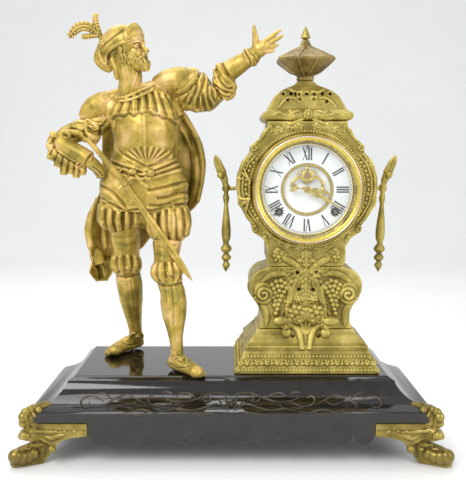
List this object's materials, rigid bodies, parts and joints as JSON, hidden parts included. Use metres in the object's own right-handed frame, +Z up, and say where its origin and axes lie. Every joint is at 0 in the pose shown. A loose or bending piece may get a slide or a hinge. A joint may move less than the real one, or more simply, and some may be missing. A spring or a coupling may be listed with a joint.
{
  "type": "mantel clock",
  "caption": "Figural mantel clock: a standing cavalier beside a waisted clock case with porcelain dial and visible escapement, on a black base with scroll feet.",
  "frame": {"origin": "on the floor under the middle of the base, bottom centre of the bounding box", "axes": "+Z up, the dial and the figure face -Y, +X to the right seen from the front"},
  "size_m": [0.5156, 0.2044, 0.5389],
  "materials": {
    "black_enamel_iron": "glossy black enamel",
    "case_bronze": "antique bronze patina over cast white metal",
    "figure_bronze": "antique gold-bronze patina over cast white metal",
    "feet_gilt": "bright gilt",
    "gilt_brass": "polished gilt",
    "brass": "satin",
    "steel": "satin",
    "porcelain": "glossy white",
    "glass": "clear"
  },
  "bodies": {
    "clock": {"base_casting": "black_enamel_iron", "case_plinth": "case_bronze", "case_pedestal": "case_bronze", "case_drum": "case_bronze", "case_dome": "case_bronze", "urn_finial": "case_bronze", "urn_spike": "case_bronze", "side_drop_left": "case_bronze", "side_drop_right": "case_bronze", "figure_torso": "figure_bronze", "figure_hose": "figure_bronze", "figure_leg_left": "figure_bronze", "figure_leg_right": "figure_bronze", "figure_head": "figure_bronze", "figure_helmet": "figure_bronze", "figure_arm_raised": "figure_bronze", "figure_arm_bent": "figure_bronze", "figure_cape": "figure_bronze", "figure_sword": "figure_bronze", "foot_front_left": "feet_gilt", "foot_front_right": "feet_gilt", "foot_rear_left": "feet_gilt", "foot_rear_right": "feet_gilt", "dial_surround": "gilt_brass", "centre_ring": "gilt_brass", "dial_pan": "brass", "escapement_bridge": "brass", "front_plate": "brass", "back_plate": "brass", "gong_post": "brass", "figure_bolt_left": "steel", "figure_bolt_right": "steel", "case_bolt_left": "steel", "case_bolt_right": "steel", "rear_cover_pin": "steel", "bezel_pin": "steel", "gong_coil": "steel", "chapter_ring": "porcelain", "centre_disc": "porcelain"},
    "bezel_door": {"bezel": "gilt_brass", "bezel_glass": "glass"},
    "rear_door": {"rear_cover": "case_bronze"},
    "centre_arbor": {"centre_wheel": "brass", "minute_hand": "gilt_brass"},
    "hour_pipe": {"hour_hand": "gilt_brass"},
    "minute_wheel": {"minute_wheel": "brass"},
    "third_wheel": {"third_wheel": "brass"},
    "escape_wheel": {"escape_wheel": "brass"},
    "second_wheel": {"second_wheel": "brass"},
    "great_wheel": {"great_wheel": "brass"},
    "strike_great_wheel": {"strike_great_wheel": "brass"},
    "strike_wheel": {"strike_wheel": "brass"},
    "fly": {"fly": "brass"},
    "pallet_anchor": {"pallet_anchor": "steel"},
    "pendulum": {"pendulum": "brass"},
    "hammer": {"hammer": "steel"},
    "winding_arbor_left": {"winding_arbor_left": "steel"},
    "winding_arbor_right": {"winding_arbor_right": "steel"},
    "regulator_arbor": {"regulator_arbor": "steel"}
  },
  "joints": [
    {"name": "bezel_hinge", "type": "hinge", "parent": "clock", "child": "bezel_door", "pos_m": [0.022, -0.0197, 0.319], "axis": [0, 0, -1], "range_deg": [0, 110]},
    {"name": "rear_cover_hinge", "type": "hinge", "parent": "clock", "child": "rear_door", "pos_m": [0.0348, 0.0657, 0.319], "axis": [0, 0, 1], "range_deg": [0, 105]},
    {"name": "centre_spin", "type": "hinge", "parent": "clock", "child": "centre_arbor", "pos_m": [0.092, 0.023, 0.319], "axis": [0, 1, 0], "continuous": true},
    {"name": "hour_spin", "type": "hinge", "parent": "clock", "child": "hour_pipe", "pos_m": [0.092, 0.023, 0.319], "axis": [0, 1, 0], "continuous": true},
    {"name": "minute_wheel_spin", "type": "hinge", "parent": "clock", "child": "minute_wheel", "pos_m": [0.08072, 0.023, 0.3149], "axis": [0, 1, 0], "continuous": true},
    {"name": "third_spin", "type": "hinge", "parent": "clock", "child": "third_wheel", "pos_m": [0.11, 0.023, 0.33165], "axis": [0, 1, 0], "continuous": true},
    {"name": "escape_spin", "type": "hinge", "parent": "clock", "child": "escape_wheel", "pos_m": [0.092, 0.023, 0.332], "axis": [0, 1, 0], "continuous": true},
    {"name": "second_spin", "type": "hinge", "parent": "clock", "child": "second_wheel", "pos_m": [0.10678, 0.023, 0.3027], "axis": [0, 1, 0], "continuous": true},
    {"name": "great_spin", "type": "hinge", "parent": "clock", "child": "great_wheel", "pos_m": [0.126, 0.023, 0.292], "axis": [0, 1, 0], "continuous": true},
    {"name": "strike_great_spin", "type": "hinge", "parent": "clock", "child": "strike_great_wheel", "pos_m": [0.058, 0.023, 0.292], "axis": [0, 1, 0], "continuous": true},
    {"name": "strike_spin", "type": "hinge", "parent": "clock", "child": "strike_wheel", "pos_m": [0.06703, 0.023, 0.31206], "axis": [0, 1, 0], "continuous": true},
    {"name": "fly_spin", "type": "hinge", "parent": "clock", "child": "fly", "pos_m": [0.06204, 0.023, 0.33143], "axis": [0, 1, 0], "continuous": true},
    {"name": "pendulum_swing", "type": "hinge", "parent": "clock", "child": "pendulum", "pos_m": [0.092, 0.023, 0.343], "axis": [0, 1, 0], "range_deg": [-4, 4]},
    {"name": "anchor_swing", "type": "hinge", "parent": "clock", "child": "pallet_anchor", "pos_m": [0.092, 0.023, 0.343], "axis": [0, 1, 0], "range_deg": [-4, 4]},
    {"name": "hammer_lift", "type": "hinge", "parent": "clock", "child": "hammer", "pos_m": [0.08, 0.023, 0.287], "axis": [0, 1, 0], "range_deg": [0, 8], "stiffness_Nm_per_rad": 0.02, "springref_deg": -5.73},
    {"name": "winding_left_spin", "type": "hinge", "parent": "clock", "child": "winding_arbor_left", "pos_m": [0.058, 0.023, 0.292], "axis": [0, 1, 0], "continuous": true},
    {"name": "winding_right_spin", "type": "hinge", "parent": "clock", "child": "winding_arbor_right", "pos_m": [0.126, 0.023, 0.292], "axis": [0, 1, 0], "continuous": true},
    {"name": "regulator_spin", "type": "hinge", "parent": "clock", "child": "regulator_arbor", "pos_m": [0.092, 0.023, 0.37], "axis": [0, 1, 0], "continuous": true}
  ],
  "couplings": [
    {"joint": "hour_spin", "follows": "centre_spin", "ratio": 0.083333},
    {"joint": "minute_wheel_spin", "follows": "centre_spin", "ratio": -0.33333},
    {"joint": "third_spin", "follows": "centre_spin", "ratio": -6.3333},
    {"joint": "escape_spin", "follows": "centre_spin", "ratio": 31.667},
    {"joint": "second_spin", "follows": "centre_spin", "ratio": -0.1579},
    {"joint": "great_spin", "follows": "centre_spin", "ratio": 0.024931},
    {"joint": "strike_spin", "follows": "strike_great_spin", "ratio": -6.3333},
    {"joint": "fly_spin", "follows": "strike_great_spin", "ratio": 35.889},
    {"joint": "anchor_swing", "follows": "pendulum_swing", "ratio": 1}
  ]
}
